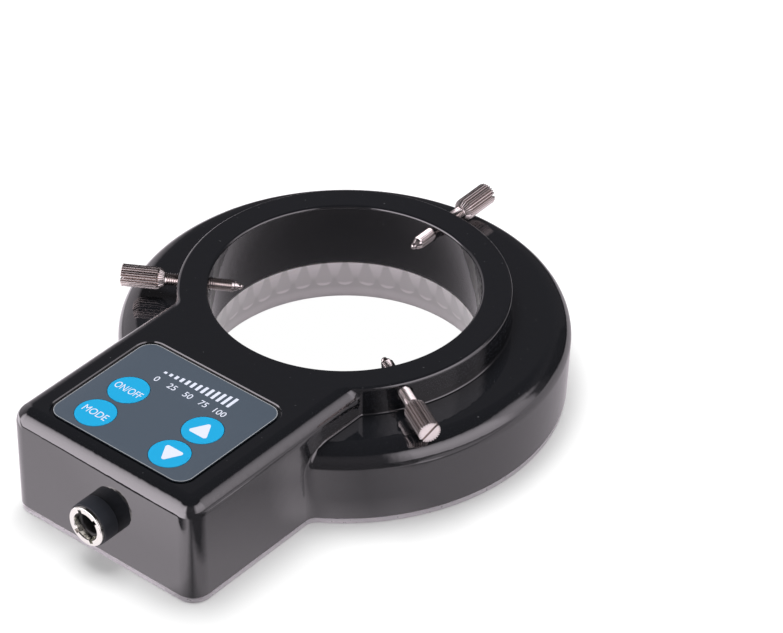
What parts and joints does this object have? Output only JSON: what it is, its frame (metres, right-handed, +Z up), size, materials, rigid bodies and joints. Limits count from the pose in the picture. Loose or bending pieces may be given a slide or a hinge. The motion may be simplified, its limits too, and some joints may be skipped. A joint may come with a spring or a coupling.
{
  "type": "microscope ring light",
  "caption": "Ring light for a stereo microscope: collar with knurled clamp screws, control box with keys and power socket, clear lower cover over lamps.",
  "frame": {"origin": "middle of the bounding box in plan, on the surface that the clear cover rests on", "axes": "+Z up along the ring's axis, +Y from the control box towards the back of the ring, +X along the print on the panel"},
  "size_m": [0.1016, 0.136, 0.0271],
  "materials": {
    "housing": "glossy black paint on cast aluminium",
    "clear_cover": "clear moulding with a frosted inner wall",
    "nickel": "bright nickel plating",
    "panel_film": "printed film, satin",
    "key_blue": "sky-blue printed key, satin",
    "board_green": "green solder mask",
    "lamp_board": "white board with clear lamps",
    "black_plastic": "moulded, matt",
    "white_plastic": "moulded, matt",
    "steel": "zinc plated",
    "copper": "bare metal",
    "red_wire": "smooth insulation",
    "black_wire": "smooth insulation"
  },
  "bodies": {
    "light_body": {"housing": "housing", "clear_cover": "clear_cover", "socket_sleeve": "nickel", "socket_pin": "nickel", "socket_nut": "nickel", "panel_overlay": "panel_film", "control_board": "board_green", "lamp_board": "lamp_board", "socket_liner": "black_plastic", "socket_block": "black_plastic", "driver_chip": "black_plastic", "lamp_connector": "white_plastic", "cover_screw_1": "steel", "cover_screw_2": "steel", "cover_screw_3": "steel", "cover_screw_4": "steel", "cover_screw_5": "steel", "board_screw_1": "steel", "board_screw_2": "steel", "board_screw_3": "steel", "board_screw_4": "steel", "switch_power": "steel", "switch_mode": "steel", "switch_up": "steel", "switch_down": "steel", "capacitor": "steel", "choke_coil": "copper", "socket_lug_plus": "copper", "socket_lug_minus": "copper", "wire_socket_plus": "red_wire", "wire_lamps_plus": "red_wire", "wire_socket_minus": "black_wire", "wire_lamps_minus": "black_wire"},
    "left_tip": {"thumb_tip_left": "nickel"},
    "left_thumb_screw": {"thumb_screw_left": "nickel"},
    "back_tip": {"thumb_tip_back": "nickel"},
    "back_thumb_screw": {"thumb_screw_back": "nickel"},
    "right_tip": {"thumb_tip_right": "nickel"},
    "right_thumb_screw": {"thumb_screw_right": "nickel"},
    "power_key": {"key_power": "key_blue", "plunger_power": "black_plastic"},
    "mode_key": {"key_mode": "key_blue", "plunger_mode": "black_plastic"},
    "up_key": {"key_up": "key_blue", "plunger_up": "black_plastic"},
    "down_key": {"key_down": "key_blue", "plunger_down": "black_plastic"}
  },
  "joints": [
    {"name": "left_tip_travel", "type": "slide", "parent": "light_body", "child": "left_tip", "axis": [-0.8572, -0.515, 0], "range_m": [-0.0033, 0.0075]},
    {"name": "left_thumb_screw_turn", "type": "hinge", "parent": "left_tip", "child": "left_thumb_screw", "pos_m": [-0.03583, -0.00509, 0.0241], "axis": [-0.8572, -0.515, 0], "range_deg": [-2376.5, 5400.5]},
    {"name": "back_tip_travel", "type": "slide", "parent": "light_body", "child": "back_tip", "axis": [-0.0175, 0.9998, 0], "range_m": [-0.0042, 0.0066]},
    {"name": "back_thumb_screw_turn", "type": "hinge", "parent": "back_tip", "child": "back_thumb_screw", "pos_m": [-0.00075, 0.05913, 0.0241], "axis": [-0.0175, 0.9998, 0], "range_deg": [-3024.5, 4752.5]},
    {"name": "right_tip_travel", "type": "slide", "parent": "light_body", "child": "right_tip", "axis": [0.8746, -0.4848, 0], "range_m": [-0.0045, 0.0063]},
    {"name": "right_thumb_screw_turn", "type": "hinge", "parent": "right_tip", "child": "right_thumb_screw", "pos_m": [0.03761, -0.00441, 0.0241], "axis": [0.8746, -0.4848, 0], "range_deg": [-3240.5, 4536.5]},
    {"name": "power_key_press", "type": "slide", "parent": "light_body", "child": "power_key", "axis": [0, 0, 1], "range_m": [-0.00025, 0], "stiffness_N_per_m": 6000, "springref_m": 0.0001},
    {"name": "mode_key_press", "type": "slide", "parent": "light_body", "child": "mode_key", "axis": [0, 0, 1], "range_m": [-0.00025, 0], "stiffness_N_per_m": 6000, "springref_m": 0.0001},
    {"name": "up_key_press", "type": "slide", "parent": "light_body", "child": "up_key", "axis": [0, 0, 1], "range_m": [-0.00025, 0], "stiffness_N_per_m": 6000, "springref_m": 0.0001},
    {"name": "down_key_press", "type": "slide", "parent": "light_body", "child": "down_key", "axis": [0, 0, 1], "range_m": [-0.00025, 0], "stiffness_N_per_m": 6000, "springref_m": 0.0001}
  ],
  "couplings": [
    {"joint": "left_thumb_screw_turn", "follows": "left_tip_travel", "rad_per_m": 12566},
    {"joint": "back_thumb_screw_turn", "follows": "back_tip_travel", "rad_per_m": 12566},
    {"joint": "right_thumb_screw_turn", "follows": "right_tip_travel", "rad_per_m": 12566}
  ]
}
